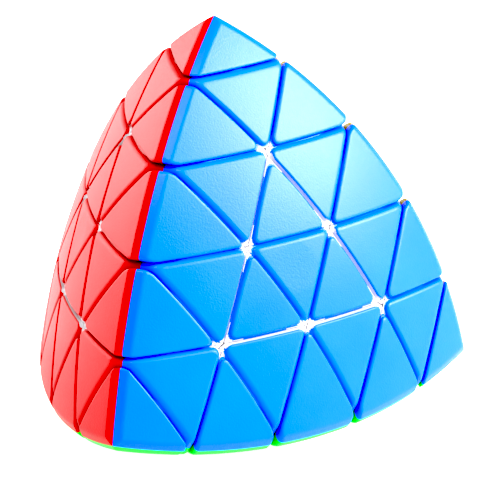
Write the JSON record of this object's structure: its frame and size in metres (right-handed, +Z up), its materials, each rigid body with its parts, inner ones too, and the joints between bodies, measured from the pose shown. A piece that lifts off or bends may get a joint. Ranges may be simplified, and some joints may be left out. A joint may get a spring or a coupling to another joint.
{
  "type": "pyramid twisty puzzle",
  "caption": "Pillow-faced tetrahedral twisty puzzle in solid-coloured plastic, layered along each corner axis round a screwed core, with turning tips, corners and top layers.",
  "frame": {"origin": "the middle of the small flat at the pole of the bottom (green) face, on which the puzzle stands", "axes": "+Z up from the bottom face to the top corner; the front (blue) face looks towards -Y; the left and right corners lie towards -X and +X, and the back corner towards +Y"},
  "size_m": [0.0982, 0.0937, 0.091],
  "materials": {
    "blue_plastic": "satin moulded plastic, solid colour",
    "red_plastic": "satin moulded plastic, solid colour",
    "green_plastic": "satin moulded plastic, solid colour",
    "yellow_plastic": "satin moulded plastic, solid colour",
    "frame_plastic": "matt moulded nylon",
    "steel": "zinc-plated"
  },
  "bodies": {
    "root": {"core": "frame_plastic", "screw_top": "steel", "screw_left": "steel", "wing_left_top": "blue_plastic", "wing_left_right": "blue_plastic", "wing_left_back": "red_plastic", "screw_right": "steel", "wing_right_top": "blue_plastic", "wing_right_left": "blue_plastic", "wing_right_back": "green_plastic", "screw_back": "steel", "wing_back_top": "red_plastic", "wing_back_left": "red_plastic", "wing_back_right": "green_plastic", "middle_left_right": "blue_plastic", "middle_left_back": "red_plastic", "middle_right_back": "green_plastic", "petal_bottom_left": "green_plastic", "petal_bottom_right": "green_plastic", "petal_bottom_back": "green_plastic", "centre_bottom": "green_plastic", "petal_right_right": "yellow_plastic", "petal_right_back": "yellow_plastic", "centre_right": "yellow_plastic", "petal_left_left": "red_plastic", "petal_left_back": "red_plastic", "centre_left": "red_plastic", "petal_front_left": "blue_plastic", "petal_front_right": "blue_plastic", "centre_front": "blue_plastic"},
    "top_layer": {"wing_top_left": "blue_plastic", "wing_top_right": "blue_plastic", "wing_top_back": "red_plastic", "middle_top_left": "blue_plastic", "middle_top_right": "blue_plastic", "middle_top_back": "red_plastic", "petal_right_top": "yellow_plastic", "petal_left_top": "red_plastic", "petal_front_top": "blue_plastic"},
    "top_corner": {"corner_block_top": "blue_plastic", "edge_top_left": "blue_plastic", "edge_top_right": "blue_plastic", "edge_top_back": "red_plastic"},
    "top_tip": {"tip_top": "blue_plastic"},
    "left_corner": {"corner_block_left": "blue_plastic", "edge_left_top": "blue_plastic", "edge_left_right": "blue_plastic", "edge_left_back": "red_plastic"},
    "left_tip": {"tip_left": "blue_plastic"},
    "right_corner": {"corner_block_right": "blue_plastic", "edge_right_top": "blue_plastic", "edge_right_left": "blue_plastic", "edge_right_back": "green_plastic"},
    "right_tip": {"tip_right": "blue_plastic"},
    "back_corner": {"corner_block_back": "red_plastic", "edge_back_top": "red_plastic", "edge_back_left": "red_plastic", "edge_back_right": "green_plastic"},
    "back_tip": {"tip_back": "red_plastic"}
  },
  "joints": [
    {"name": "top_layer_turn", "type": "hinge", "parent": "root", "child": "top_layer", "pos_m": [0, 0, 0.03133], "axis": [0, 0, 1], "continuous": true},
    {"name": "top_corner_turn", "type": "hinge", "parent": "top_layer", "child": "top_corner", "pos_m": [0, 0, 0.03133], "axis": [0, 0, 1], "continuous": true},
    {"name": "top_tip_turn", "type": "hinge", "parent": "top_corner", "child": "top_tip", "pos_m": [0, 0, 0.03133], "axis": [0, 0, 1], "continuous": true},
    {"name": "left_corner_turn", "type": "hinge", "parent": "root", "child": "left_corner", "pos_m": [0, 0, 0.03133], "axis": [-0.8165, -0.4714, -0.3333], "continuous": true},
    {"name": "left_tip_turn", "type": "hinge", "parent": "left_corner", "child": "left_tip", "pos_m": [0, 0, 0.03133], "axis": [-0.8165, -0.4714, -0.3333], "continuous": true},
    {"name": "right_corner_turn", "type": "hinge", "parent": "root", "child": "right_corner", "pos_m": [0, 0, 0.03133], "axis": [0.8165, -0.4714, -0.3333], "continuous": true},
    {"name": "right_tip_turn", "type": "hinge", "parent": "right_corner", "child": "right_tip", "pos_m": [0, 0, 0.03133], "axis": [0.8165, -0.4714, -0.3333], "continuous": true},
    {"name": "back_corner_turn", "type": "hinge", "parent": "root", "child": "back_corner", "pos_m": [0, 0, 0.03133], "axis": [0, 0.9428, -0.3333], "continuous": true},
    {"name": "back_tip_turn", "type": "hinge", "parent": "back_corner", "child": "back_tip", "pos_m": [0, 0, 0.03133], "axis": [0, 0.9428, -0.3333], "continuous": true}
  ]
}
